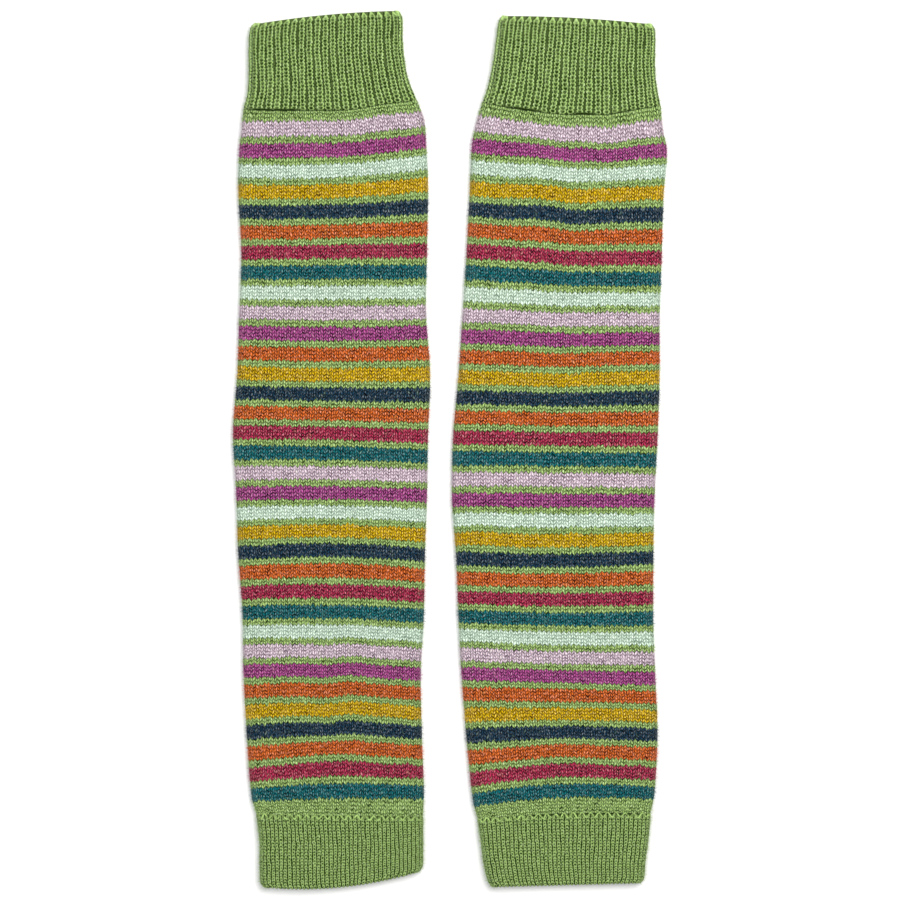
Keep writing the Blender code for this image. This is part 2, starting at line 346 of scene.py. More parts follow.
STORE = "GeometryNodeStoreNamedAttribute"
POSITION = "GeometryNodeInputPosition"
SET_POSITION = "GeometryNodeSetPosition"
REALIZE = "GeometryNodeRealizeInstances"
RANDOM = "FunctionNodeRandomValue"
COLOUR_A, COLOUR_B = 6, 7  # sockets of a Mix node that mixes colours
COLOURS = {"output": 2, "data_type": "RGBA"}
SMOOTH = {"interpolation_type": "SMOOTHSTEP"}
NUMBERS = {"data_type": "FLOAT"}
VECTORS = {"data_type": "FLOAT_VECTOR"}
HALVES = (0.5, 0.5, 0.5)


def linear(code):
    """A linear colour, with full alpha, from an sRGB hex code."""
    parts = [int(code[i : i + 2], 16) / 255 for i in (1, 3, 5)]
    return [p / 12.92 if p <= 0.04045 else ((p + 0.055) / 1.055) ** 2.4 for p in parts] + [1.0]


def yarn_colour(name, code):
    """A colour property whose default is an sRGB hex code."""
    return FloatVectorProperty(
        name=name,
        description=f"Colour of the {name.lower()} yarn",
        default=linear(code),
        size=4,
        min=0.0,
        max=1.0,
        subtype="COLOR",
    )


def length(name, description, default):
    """A length property, shown to a hundredth of a millimetre."""
    return FloatProperty(
        name=name, description=description, default=default, min=0.0, unit="LENGTH", precision=5
    )


class YarnColours(PropertyGroup):
    """The dyed yarns, one property each."""

    green: yarn_colour("Leaf green", "#A8C876")
    pink: yarn_colour("Pale pink", "#E7D3E0")
    magenta: yarn_colour("Magenta", "#BA519A")
    mint: yarn_colour("Pale mint", "#DFF3E1")
    mustard: yarn_colour("Mustard", "#E0BA04")
    navy: yarn_colour("Navy", "#1A3E56")
    orange: yarn_colour("Burnt orange", "#E57029")
    raspberry: yarn_colour("Raspberry", "#BC3257")
    teal: yarn_colour("Teal", "#0C7178")


class KnitSizes(PropertyGroup):
    """The sizes of the stitches."""

    yarn_relief: length(
        "Yarn relief", "How far a stitch's yarn stands out of the gap beside it", 0.6 * MM
    )
    column_relief: length(
        "Column relief", "How far a plain wale's middle stands above the line beside it", 0.2 * MM
    )
    rib_relief: length(
        "Rib relief", "How far a rib of the top cuff stands above the purl wale beside it", 1.2 * MM
    )
    waviness: length(
        "Waviness", "How far the cloth rises and wanders over a few centimetres", 0.35 * MM
    )
    seed: IntProperty(name="Seed", description="Start of the uneven stitches", default=4)


class StudioSizes(PropertyGroup):
    """The camera and the lamps."""

    camera_height: length("Camera height", "Height of the camera above the floor", 2.0)
    picture_width: length("Picture width", "Width of floor that the picture shows", 0.432)
    key_power: FloatProperty(
        name="Key power", description="Power of the large soft lamp", default=23.0, unit="POWER"
    )
    fill_power: FloatProperty(
        name="Fill power", description="Power of the lamp on the other side", default=9.0, unit="POWER"
    )


def add_node(tree, kind, *values, named=None, output=0, **settings):
    """Adds a node with its settings and fills its inputs in order, or by name or number. A socket
    is linked, None is left alone and anything else is set. Returns one of the node's outputs. The
    kind is a type of node, or a type and its operation."""
    if isinstance(kind, tuple):
        kind, settings["operation"] = kind
    node = tree.nodes.new(kind)
    for setting, value in settings.items():
        setattr(node, setting, value)
    pairs = list(zip(node.inputs, values))
    pairs += [(node.inputs[key], value) for key, value in (named or {}).items()]
    for socket, value in pairs:
        if isinstance(value, NodeSocket):
            tree.links.new(value, socket)
        elif value is not None:
            socket.default_value = value
    return node.outputs[output] if len(node.outputs) else None


def new_tree(name, shape, sizes, result):
    """An empty tree of geometry nodes that takes a shape, named sizes and a wool, and gives a
    result. Returns the tree, its inputs by name, and what adds a node to it."""
    tree = bpy.data.node_groups.new(name, "GeometryNodeTree")
    new_socket = tree.interface.new_socket
    new_socket(shape, in_out="INPUT", socket_type="NodeSocketGeometry")
    for title, default in sizes.items():
        kind = "NodeSocketInt" if isinstance(default, int) else "NodeSocketFloat"
        new_socket(title, in_out="INPUT", socket_type=kind).default_value = default
    new_socket("Wool", in_out="INPUT", socket_type="NodeSocketMaterial")
    new_socket(result, in_out="OUTPUT", socket_type="NodeSocketGeometry")
    given = {socket.name: socket for socket in tree.nodes.new("NodeGroupInput").outputs}
    return tree, given, partial(add_node, tree)


def end_tree(add, real, wool):
    """Ends a tree: its real geometry is given its wool."""
    add("NodeGroupOutput", add("GeometryNodeSetMaterial", real, named={"Material": wool}))


def new_material(name):
    """A material with no nodes yet. Returns it, and what adds a node to it."""
    material = bpy.data.materials.new(name)
    material.use_nodes = True
    material.node_tree.nodes.clear()
    return material, partial(add_node, material.node_tree)


def add_object(name, data):
    """Puts a new object in the scene."""
    made = bpy.data.objects.new(name, data)
    bpy.context.collection.objects.link(made)
    return made


def add_attribute(mesh, title, values):
    """Gives each point of a mesh a number of its own, or a vector."""
    kind, field = ("FLOAT_VECTOR", "vector") if values.size > len(mesh.vertices) else ("FLOAT", "value")
    data = mesh.attributes.new(title, kind, "POINT").data
    data.foreach_set(field, values.astype(np.float32).ravel())


def row_lengths(rows, courses):
    """Each length of a row, in metres, at many courses, on a smooth curve through the rows given."""
    table = np.array(rows, float)
    knots, lengths = table[:, 0], table[:, 1:] * MM
    last = len(rows) - 1
    before = np.maximum(np.arange(last + 1) - 1, 0)
    after = np.minimum(np.arange(last + 1) + 1, last)
    slopes = (lengths[after] - lengths[before]) / (knots[after] - knots[before])[:, None]
    first = np.clip(np.searchsorted(knots, courses, "right") - 1, 0, last - 1)
    span = (knots[first + 1] - knots[first])[:, None]
    share = (courses - knots[first])[:, None] / span
    first_weight = 1 - 3 * share**2 + 2 * share**3
    found = lengths[first] * first_weight + lengths[first + 1] * (1 - first_weight)
    found += slopes[first] * span * (share - 2 * share**2 + share**3)
    found += slopes[first + 1] * span * (share**3 - share**2)
    return [found[:, [column]] for column in range(found.shape[1])]


def fold_lift(x, y):
    """How far the ridges and troughs move the front up."""
    total = np.zeros_like(x)
    for fold in FOLDS:
        angle = math.radians(fold.angle)
        east, north = x / MM - fold.x, y / MM - fold.y
        run = east * math.cos(angle) + north * math.sin(angle)
        off = north * math.cos(angle) - east * math.sin(angle)
        total += fold.height * MM * np.exp(-((run / fold.along) ** 2) - (off / fold.across) ** 2)
    return total


def course_drift(x, y):
    """How far the courses are pulled out of line along Y."""
    total = np.zeros_like(x)
    for drift in DRIFTS:
        east, north = (x / MM - drift.x) / drift.along_x, (y / MM - drift.y) / drift.along_y
        total += drift.lift * MM * np.exp(-(east**2) - north**2)
    return total


def crease_shade_at(x, y):
    """How dark the painted shade in a seam's crease is, from 0 to 1, at points on it or near it."""
    total = np.full_like(x, FAINT_CREASE_SHADE)
    for crease in CREASE_SHADES:
        near = np.abs(y / MM - crease.y) < CREASE_REACH / MM
        total += crease.dark * np.exp(-(((x / MM - crease.x) / crease.along_x) ** 4)) * near
    return np.clip(total, 0.0, 1.0)


def wale_places(knit, wales):
    """Where wales lie round the tube when the raised wale of each pair takes more than its half."""
    pair, within = np.divmod(wales, 2.0)
    raised = np.minimum(within, 1.0) * 2 * knit.rib_share
    sunk = np.maximum(within - 1.0, 0.0) * 2 * (1 - knit.rib_share)
    return 2 * pair + raised + sunk


def tube_points(knit, rows, wales, courses, depth):
    """Points of the flattened tube: a row for each course and a column for each wale. Wales run
    from 0 at the left fold over the front to 42 at the right fold, then under the back to 84.
    Depth is how far each course's points lie inside the skin of the tube."""
    left, right, left_y, middle_y, right_y = row_lengths(rows, courses)
    width = right - left
    opened = np.clip(courses / knit.courses, 0.0, 1.0)[:, None]
    hollow = knit.first_hollow + (knit.last_hollow - knit.first_hollow) * opened
    radius = knit.wall + hollow / 2
    place = wale_places(knit, wales) % ROUND_WALES
    under = place > FACE_WALES
    quarter = radius * math.pi / 2
    flat = width - 2 * radius
    passed = np.where(under, ROUND_WALES - place, place) / FACE_WALES * (2 * quarter + flat)
    turn = np.minimum(passed, quarter) / radius + np.maximum(passed - quarter - flat, 0.0) / radius
    share = np.clip((passed - quarter) / flat, 0.0, 1.0)
    inner = radius - depth[:, None]
    across = radius - inner * np.cos(turn) + flat * share
    part = across / width
    y = left_y * (1 - part) * (1 - 2 * part) + middle_y * 4 * part * (1 - part)
    y = y + right_y * part * (2 * part - 1)
    x = left + across
    raised = np.where(under, 0.0, np.sin(turn))
    rise = np.maximum(fold_lift(x, y), LEAST_HOLLOW - hollow) * raised
    up = radius + np.where(under, -1, 1) * inner * np.sin(turn) + rise
    return np.stack([x, y + course_drift(x, y), up], axis=2)


def end_share(distance, fade):
    """How much of an end's change is left some courses away from the end."""
    return np.clip(1 - distance / fade, 0, 1)


def knit_shell(name, knit, rows, skin_depth):
    """A closed shell on the flattened tube, its outside fine enough for every stitch. Its points
    carry the wale, the course, the way out of the cloth and the way down one course, and how free
    a stitch is to lean there. The Knit map holds wales across and courses along."""
    fine = np.arange(-FOLD_WALES, FACE_WALES + FOLD_WALES, 1 / knit.wale_points)
    coarse = np.arange(FACE_WALES + FOLD_WALES, ROUND_WALES - FOLD_WALES, 1.0)
    wales = np.concatenate([fine, coarse])
    outer = np.linspace(0, knit.courses, knit.courses * knit.course_points + 1)
    inner = np.linspace(knit.courses, 0, INNER_COURSES)
    courses = np.concatenate([outer, [knit.courses + LIP], inner, [-LIP]])
    lips = [len(outer), -1]
    depth = np.full(len(courses), knit.wall)
    depth[: len(outer)] = skin_depth
    depth[lips] = (skin_depth + knit.wall) / 2
    points = tube_points(knit, rows, wales, courses, depth)

    outside = points[: len(outer)]
    down = np.gradient(outside, outer, axis=0)
    aside = np.roll(outside, -1, axis=1) - np.roll(outside, 1, axis=1)
    out = np.cross(down, aside)
    out /= np.linalg.norm(out, axis=2, keepdims=True)

    # An end is cut back between the raised wales of the front, so that their tips stand free.
    front = (wales > 0) & (wales < FACE_WALES)
    tip = np.abs(np.sin(math.pi * wales))
    between = 1 - np.sqrt(tip)
    if knit.rib_share > 0.5:
        between = np.where(np.floor(wales) % 2 == 0, 1 - tip**2, 1.0)
    between = np.where(front, between, 0.0)
    behind = np.where(front, 0.0, np.abs(np.sin(math.pi * wales / FACE_WALES)) ** BACK_RISE)
    back_out = BACK_SHOWS * behind if knit.first_cut else 0.0
    past_first, to_last = courses[:, None], knit.courses - courses[:, None]
    first_end = end_share(past_first, CUT_FADE) * (knit.first_cut * between - back_out)
    first_end = first_end + end_share(past_first, IN_FADE) * knit.first_in
    last_end = end_share(to_last, CUT_FADE) * knit.last_cut * between
    last_end = last_end + end_share(to_last, IN_FADE) * knit.last_in
    points += first_end[..., None] * down[0] - last_end[..., None] * down[-1]

    rings, columns = points.shape[:2]
    ring, column = np.meshgrid(np.arange(rings), np.arange(columns), indexing="ij")
    corners = [(0, 0), (1, 0), (1, 1), (0, 1)]  # of a face, in rings and columns from its first one
    faces = [(ring + r) % rings * columns + (column + c) % columns for r, c in corners]
    mesh = bpy.data.meshes.new(name)
    mesh.from_pydata(points.reshape(-1, 3), [], np.stack(faces, 2).reshape(-1, 4))

    across = np.concatenate([wales, [ROUND_WALES - FOLD_WALES]])
    knit_map, bake_map = [], []
    for r, c in corners:
        wale = across[column + c]
        knit_map.append(np.stack([wale, courses[(ring + r) % rings]], 2))
        bake_map.append(np.stack([(wale + FOLD_WALES) / ROUND_WALES, (ring + r) / rings], 2))
    for title, values in (("Knit", knit_map), ("OFBake", bake_map)):
        layer = mesh.uv_layers.new(name=title)
        layer.uv.foreach_set("vector", np.stack(values, 2).astype(np.float32).ravel())

    freedom = np.clip(np.minimum(courses, knit.courses - courses) / FREE_FADE, 0, 1)
    # Painted shade mask: the inside of the wall, and the back's lips that show between the rib tips,
    # are marked to be darkened as shade that no lamp reaches.
    inside = np.zeros((rings, columns))
    inside[len(outer) + 1 : -1] = 1.0
    inside[lips] = ~front
    carried = {
        "wale": np.broadcast_to(wales, (rings, columns)),
        "course": np.broadcast_to(courses[:, None], (rings, columns)),
        "freedom": np.broadcast_to(freedom[:, None], (rings, columns)),
        "inside": inside,
        # painted shade of the creases at the seams
        "crease": crease_shade_at(points[..., 0], points[..., 1]),
        "out": np.zeros(points.shape),
        "down": np.zeros(points.shape),
    }
    carried["out"][: len(outer)] = out
    carried["down"][: len(outer)] = down
    for title, values in carried.items():
        add_attribute(mesh, title, values)
    return add_object(name, mesh)


def linking_path(name, rows):
    """The path of a linking row round the top of a bottom cuff, with a point on each wale."""
    wales = np.arange(0.0, ROUND_WALES, 1.0)
    courses = LINK_COURSE + np.array([-0.5, 0.0, 0.5])
    above, path, below = tube_points(CUFF_KNIT, rows, wales, courses, np.full(3, LINK_DEPTH))
    lifted = np.clip(np.sin(math.pi * wales / FACE_WALES), 0.0, None) ** LINK_RISE
    path[:, 2] += LINK_LIFT * lifted
    mesh = bpy.data.meshes.new(name)
    mesh.from_pydata(path, [(i, (i + 1) % ROUND_WALES) for i in range(ROUND_WALES)], [])
    add_attribute(mesh, "tooth", np.where(wales % 2 == 0, 0.5, -0.5))
    add_attribute(mesh, "down", below - above)
    return add_object(name, mesh)


def flat_size(rows, courses):
    """Width all round and length of a stretch cut open and laid flat."""
    at = np.linspace(0, courses, courses + 1)
    left, right, _, middle_y, _ = row_lengths(rows, at)
    return 2 * float(np.mean(right - left)), float(middle_y[0, 0] - middle_y[-1, 0])


def add_hole(add, wale, course, hole, core):
    """Adds nodes for a round hole in the middle of each wale and course: full to a share of its
    reach, its core, and falling to 0 at its reach."""
    off = []
    for place, reach in ((wale, hole.across), (course, hole.along)):
        from_edge = add(PINGPONG, place, 0.5)
        off.append(add(MAP_RANGE, from_edge, 0.0, 0.5, 0.5 / reach, 0.0))
    distance = add(VECTOR_MATH, add(COMBINE, *off), operation="LENGTH", output="Value")
    return add(MAP_RANGE, distance, core, 1.0, hole.dark, 0.0, **SMOOTH)


def stitch_tree(name):
    """Raises the stitches of a shell: each wale is a column of slanting yarn legs in mirrored
    pairs, and ribs stand above the wales between them."""
    sizes = {
        "Yarn relief": 0.6 * MM,
        "Column relief": 0.2 * MM,
        "Raised every": 1,
        "Slant": 1.0,
        "Notch": 1.0,
        "Looseness": 0.3,
        "Wander": 0.4,
        "Waviness": 0.35 * MM,
        "Seed": 4,
    }
    tree, given, add = new_tree(name, "Shell", sizes, "Knit")
    wale, course, freedom = (add(READ, title, **NUMBERS) for title in ("wale", "course", "freedom"))
    out, down = (add(READ, title, **VECTORS) for title in ("out", "down"))

    # A raised wale is every one, or every second one in a rib.
    turn = add(MODULO, add(WHOLE, wale), given["Raised every"])
    raised = add(MATH, turn, 0.0, 0.5, operation="COMPARE")

    # Uneven stitches: one value for how full each is, and two for how far it strays.
    stitch = add(COMBINE, wale, course, given["Seed"])
    fullness = add(NOISE, stitch, None, *UNEVEN)
    strays = add(SEPARATE, fullness.node.outputs["Color"]).node.outputs

    # Roundness over one course, over one leg of a stitch and over a wale
    rounds = []
    for place, humps in ((course, 1), (wale, 2), (wale, 1)):
        angle = add(TIMES, place, humps * math.pi)
        rounds.append(add(ABSOLUTE, add(SINE, angle)))
    over_course, over_leg, over_wale = rounds

    # Height of the yarn, less the eye of the loop
    unnotched = add(MINUS, 1.0, given["Notch"])
    yarn_up = add(TIMES_PLUS, over_course, given["Notch"], unnotched)
    leg_height = add(MAP_RANGE, over_leg, 0.0, 1.0, LEG_EDGE, 1.0)
    eye = add_hole(add, wale, course, RAISED_EYE, RAISED_EYE_CORE)
    around_eye = add(MINUS, 1.0, eye)
    full = add(MINUS, 1.0, add(TIMES, fullness, given["Looseness"]))
    for share in (leg_height, around_eye, full, given["Yarn relief"]):
        yarn_up = add(TIMES, yarn_up, share)

    # Height of a raised wale
    wale_up = add(MATH, over_wale, 0.5, operation="POWER")
    for share in (raised, given["Column relief"]):
        wale_up = add(TIMES, wale_up, share)
    stitch_up = add(PLUS, yarn_up, wale_up)

    # Broad waves, only where the cloth faces up
    wave_up = add(MINUS, add(NOISE, add(POSITION), None, *BROAD_WAVES), 0.5)
    facing = add(SEPARATE, out, output="Z")
    for share in (add(LARGER, facing, 0.0), given["Waviness"]):
        wave_up = add(TIMES, wave_up, share)
    total_up = add(PLUS, stitch_up, wave_up)
    move_out = add(SCALED, out, named={"Scale": total_up})

    # The legs of a raised wale lean together at their upper ends, or at their lower ends where the
    # slant is below 0. A sunk wale's lie level.
    peak = add(PINGPONG, wale, 0.5)
    lean = add(MAP_RANGE, peak, 0.0, 0.5, -0.5, 0.5)
    for share in (raised, freedom, given["Slant"]):
        lean = add(TIMES, lean, share)
    stray = add(MINUS, strays["X"], 0.5)
    for share in (freedom, given["Looseness"]):
        stray = add(TIMES, stray, share)
    fallen = add(MINUS, stray, lean)
    move_down = add(SCALED, down, named={"Scale": fallen})

    # Loops also stray to the side, by a share of a course's height, and a wale wanders slowly.
    side = add(VECTOR_MATH, out, down, operation="CROSS_PRODUCT")
    side_stray = add(TIMES, add(MINUS, strays["Y"], 0.5), given["Looseness"])
    slow = add(VECTOR_TIMES, stitch, WANDER_SCALE)
    wander_middle = add(MINUS, add(NOISE, slow, None, *SLOW), 0.5)
    wander = add(TIMES_PLUS, wander_middle, given["Wander"], side_stray)
    move_side = add(SCALED, side, named={"Scale": wander})
    move_level = add(VECTOR_PLUS, move_down, move_side)
    move = add(VECTOR_PLUS, move_out, move_level)
    knitted = add(SET_POSITION, given["Shell"], named={"Offset": move})
    end_tree(add, add(REALIZE, knitted), given["Wool"])
    return tree


def linking_tree(name):
    """Turns a closed path round the tube into one zigzag yarn. Its points carry the way down one
    course and the side that each tooth takes."""
    sizes = {"Tooth height": 1.5, "Unevenness": 1.8 * MM, "Yarn radius": 0.38 * MM}
    tree, given, add = new_tree(name, "Path", sizes, "Row")
    path = add("GeometryNodeMeshToCurve", given["Path"])
    tooth, down = add(READ, "tooth", **NUMBERS), add(READ, "down", **VECTORS)
    height = add(TIMES, tooth, given["Tooth height"])
    move = add(SCALED, down, named={"Scale": height})
    zigzag = add(SET_POSITION, path, named={"Offset": move})
    place = add(POSITION)
    noise = add(NOISE, place, None, *LINK_STRAYS, output="Color")
    stray = add(VECTOR_MINUS, noise, HALVES)
    stray_far = add(SCALED, stray, named={"Scale": given["Unevenness"]})
    uneven = add(SET_POSITION, zigzag, named={"Offset": stray_far})

    # Under the back the yarn lies on the surface and not below it. X and Y are left alone.
    lowest = add(COMBINE, -1.0, -1.0, given["Yarn radius"])
    lifted = add(VECTOR_MATH, place, lowest, operation="MAXIMUM")
    resting = add(SET_POSITION, uneven, named={"Position": lifted})
    smooth = add("GeometryNodeCurveSplineType", resting, spline_type="CATMULL_ROM")
    fine = add("GeometryNodeSetSplineResolution", smooth, named={"Resolution": LINK_STEPS})
    radius = {"Radius": given["Yarn radius"]}
    ring = add("GeometryNodeCurvePrimitiveCircle", LINK_SIDES, named=radius)
    yarn = add("GeometryNodeCurveToMesh", fine, named={"Profile Curve": ring})
    end_tree(add, add(REALIZE, yarn), given["Wool"])
    return tree


def fuzz_tree(name):
    """Stands short tapered fibres on a knitted piece, most at the folds and few on the front. Each
    carries the wale and course of its root, and its own small place in the piece's bake map."""
    sizes = {
        "Fold density": 4.0 / MM**2,
        "Front density": 0.12 / MM**2,
        "Fibre length": 1.4 * MM,
        "Fibre radius": 0.07 * MM,
        "Courses": 210.0,
        "Seed": 4,
    }
    tree, given, add = new_tree(name, "Knit", sizes, "Fuzz")
    seed = {"Seed": given["Seed"]}

    # The outside of the front and of the two folds is fuzzy. The back lies on the floor.
    place, inside = add(READ, "Knit", **VECTORS), add(READ, "inside", **NUMBERS)
    outside = add(MATH, inside, 0.5, operation="LESS_THAN")
    from_fold = add(PINGPONG, add(SEPARATE, place), FACE_WALES / 2)
    density = add(MAP_RANGE, from_fold, *FUZZ_FOLD, given["Fold density"], given["Front density"])
    facing = add(SEPARATE, add("GeometryNodeInputNormal"), output="Z")
    above = add(MATH, facing, FUZZ_FACING, operation="GREATER_THAN")
    fuzzy = add(TIMES, density, add(TIMES, above, outside))
    where = {"Density": fuzzy, **seed}
    spread = add("GeometryNodeDistributePointsOnFaces", given["Knit"], named=where)
    roots = add(STORE, spread, None, "root", place, domain="POINT", **VECTORS)

    # A fibre is a three-sided spike. It leans and is as long as chance has it.
    size = {
        "Vertices": 3,
        "Radius Top": 0.0,
        "Radius Bottom": given["Fibre radius"],
        "Depth": given["Fibre length"],
    }
    spike = add("GeometryNodeMeshCone", named=size, fill_type="TRIANGLE_FAN")
    spot = add(VECTOR_TIMES, add(POSITION), (1 / MM, 1 / MM, 0.0))
    fibre = add(STORE, spike, None, "spot", spot, domain="POINT", **VECTORS)
    lean = add(RANDOM, (-0.9, -0.9, 0.0), (0.9, 0.9, 2 * math.pi), named=seed, **VECTORS)
    turned = spread.node.outputs["Rotation"]
    turn = add("FunctionNodeRotateRotation", turned, lean, rotation_space="LOCAL")
    stretch = add(RANDOM, (0.8, 0.8, 0.4), (1.2, 1.2, 1.6), named=seed, **VECTORS)
    how = {"Instance": fibre, "Rotation": turn, "Scale": stretch}
    real = add(REALIZE, add("GeometryNodeInstanceOnPoints", roots, named=how))

    # In the bake map a fibre lies round its root, over about a third of a stitch.
    root, around = add(READ, "root", **VECTORS), add(READ, "spot", **VECTORS)
    patch = add(VECTOR_TIMES_PLUS, around, (FUZZ_SPREAD, FUZZ_SPREAD, 0.0), root)
    one_course = add(OVER, BAKE_SHARE, given["Courses"])
    share = add(COMBINE, BAKE_SHARE / ROUND_WALES, one_course)
    baked = add(VECTOR_TIMES_PLUS, patch, share, BAKE_EDGE)
    mapped = add(STORE, real, None, "OFBake", baked, data_type="FLOAT2", domain="CORNER")
    end_tree(add, mapped, given["Wool"])
    return tree


def apply_tree(piece, name, make_tree, inputs):
    """Runs a node tree, made when it is first needed, on a piece with these inputs, and keeps the
    result as its plain mesh."""
    tree = bpy.data.node_groups.get(name) or make_tree(name)
    modifier = piece.modifiers.new("Nodes", "NODES")
    modifier.node_group = tree
    identifiers = {item.name: item.identifier for item in tree.interface.items_tree}
    for title, value in inputs.items():
        modifier[identifiers[title]] = value
    graph = bpy.context.evaluated_depsgraph_get()
    made = bpy.data.meshes.new_from_object(
        piece.evaluated_get(graph), preserve_all_data_layers=True, depsgraph=graph
    )
    made.name = piece.name
    piece.modifiers.remove(modifier)
    old = piece.data
    piece.data = made
    bpy.data.meshes.remove(old)
    for title in ("wale", "course", "freedom", "out", "down", "tooth", "spot"):
        if title in made.attributes:
            made.attributes.remove(made.attributes[title])
    made.shade_smooth()


def end_wool(add, colour, fibres, height):
    """Ends a material as dull wool: fibres in relief that scatter the light, with hardly a gleam."""
    relief = {"Strength": 0.6, "Distance": 0.15 * MM, "Height": height}
    surface = {
        "Base Color": colour,
        "Roughness": add(MAP_RANGE, fibres, 0.3, 0.7, 0.82, 0.98),
        "IOR": 1.5,
        "Specular IOR Level": 0.05,
        "Sheen Weight": 0.01,
        "Sheen Roughness": 0.5,
        "Normal": add("ShaderNodeBump", named=relief),
    }
    add(MATERIAL_OUTPUT, add(PRINCIPLED, named=surface))


def wool_material(name, gaps, stripes=False):
    """Wool-blend knitting yarn, spun soft and dyed in the fleece: each stitch differs a little in
    depth, the gaps between yarns take painted shade, a painted sheen and pale fibre ends lighten the
    crests, and short fibres give a dull bloom and no gloss."""
    colours = bpy.context.scene.yarn_colours
    material, add = new_material(name)

    # Wales and courses, a little out of true from stitch to stitch, and columns that sit higher or
    # lower than the next for a few courses
    knit_map = add("ShaderNodeUVMap", uv_map="Knit")
    wander = add(NOISE, knit_map, None, *UNEVEN, output="Color")
    wander_middle = add(VECTOR_MINUS, wander, HALVES)
    far = (2.5 * gaps.spread, 4.5 * gaps.spread, 0.0)
    places = add(SEPARATE, add(VECTOR_TIMES_PLUS, wander_middle, far, knit_map))
    sitting, strands, patches = (
        add(NOISE, add(MAPPING, knit_map, None, None, scale), None, *noise)
        for scale, noise in MAP_NOISES
    )
    sitting_middle = add(MINUS, sitting, 0.5)
    wale, straight = places.node.outputs["X"], places.node.outputs["Y"]
    course = add(TIMES_PLUS, sitting_middle, gaps.spread * 6, straight)
    legs = add(TIMES, wale, 2.0)
    chance = add(WHITE_NOISE, add(COMBINE, add(WHOLE, legs), add(WHOLE, course)))
    chances = add("ShaderNodeSeparateColor", chance.node.outputs["Color"]).node.outputs

    # Painted shade in the gaps between yarns
    eye = add_hole(add, wale, course, gaps.eye, GAP_CORE)
    meet = add_hole(add, add(PLUS, wale, 0.5), add(PLUS, course, 0.5), gaps.meet, GAP_CORE)
    gap_shade = add(LARGER, eye, meet)
    for place, line in ((wale, gaps.wale), (course, gaps.course)):
        off = add(PINGPONG, place, 0.5)
        shade = add(MAP_RANGE, off, GAP_CORE * line.reach, line.reach, line.dark, 0.0, **SMOOTH)
        gap_shade = add(LARGER, gap_shade, shade)
    if gaps.tips:
        past_tip = add(MAP_RANGE, course, 0.0, gaps.tips, 0.0, 1.0)
        gap_shade = add(TIMES, gap_shade, past_tip)
    openness = add(MAP_RANGE, chances["Blue"], 0.0, 1.0, 1.0 - gaps.spread, MOST_OPEN)
    painted_shade = add(TIMES, gap_shade, openness)

    # Painted shade also darkens the sunk wales, the creases at the seams and the inside of the wall.
    shades = []
    if gaps.sunk:
        sunk = add(MODULO, add(WHOLE, wale), 2.0)
        depth = add(MAP_RANGE, chances["Red"], 0.0, 1.0, LEAST_SUNK_SHADE * gaps.sunk, gaps.sunk)
        shades.append(add(TIMES, sunk, depth))
    crease, inside = (
        add(ATTRIBUTE, attribute_name=title, output="Fac") for title in ("crease", "inside")
    )
    for seam in gaps.seams:
        off_seam = add(ABSOLUTE, add(MINUS, course, float(seam)))
        line = add(MAP_RANGE, off_seam, *SEAM_LINE, 1.0, 0.0)
        shades.append(add(TIMES, line, crease))
    shades.append(add(TIMES, inside, INSIDE_SHADE))
    for shade in shades:
        painted_shade = add(LARGER, painted_shade, shade)

    yarn = tuple(colours.green[:3])
    if stripes:
        yarn = stripe_colours(add, course, colours, chances["Green"])

    # Each leg of a stitch is a little lighter or darker about the knit's painted crest light, strands
    # run along it, patches of yarn differ over a few stitches, and fibres catch the light.
    fibres = add(NOISE, add(COORDINATES, output="Object"), None, *FIBRES)
    least, most = gaps.lit * (1 - 0.45 * gaps.spread), gaps.lit * (1 + 0.45 * gaps.spread)
    tone = add(MAP_RANGE, chance, 0.0, 1.0, least, most)
    for part, texture in ((0.8, strands), (0.1, patches), (1.1, fibres)):
        spread = part * gaps.spread
        share = add(MAP_RANGE, texture, 0.3, 0.7, 1 - spread, 1 + spread)
        tone = add(TIMES, tone, share)
    toned = add(SCALED, yarn, named={"Scale": tone})

    # The colour of the painted shade: light that leaves a gap has met the yarn twice, and a dark yarn
    # keeps more of it.
    twice = add(VECTOR_TIMES, yarn, yarn)
    brightness = add(VECTOR_MATH, yarn, LUMINANCE, operation="DOT_PRODUCT", output="Value")
    left = add(TIMES, add(TIMES, brightness, brightness), GAP_LIGHT)
    painted_gap_colour = add(SCALED, twice, named={"Scale": left})
    # The painted shade is mixed into the yarn's colour.
    shown = add(MIX, painted_shade, named={COLOUR_A: toned, COLOUR_B: painted_gap_colour}, **COLOURS)

    # Painted sheen on the crests, with pale fibre ends: where strands run, the crests out of the
    # painted gap shade are mixed towards white.
    painted_sheen = add(MAP_RANGE, strands, 0.5, 0.72, 0.0, 0.27)
    crest = add(MINUS, 1.0, painted_shade, use_clamp=True)
    pale = add(TIMES, painted_sheen, crest)
    wool = add(MIX, pale, named={COLOUR_A: shown, COLOUR_B: linear(FIBRE_END_AND_SHEEN)}, **COLOURS)

    # Two plies twist along each leg, with the fibres over them.
    twist = add(PLUS, add(TIMES, legs, 1.5), course)
    plies = add(SINE, add(TIMES, twist, 2 * math.pi))
    height = add(TIMES_PLUS, plies, 0.25, fibres)
    end_wool(add, wool, fibres, height)
    return material


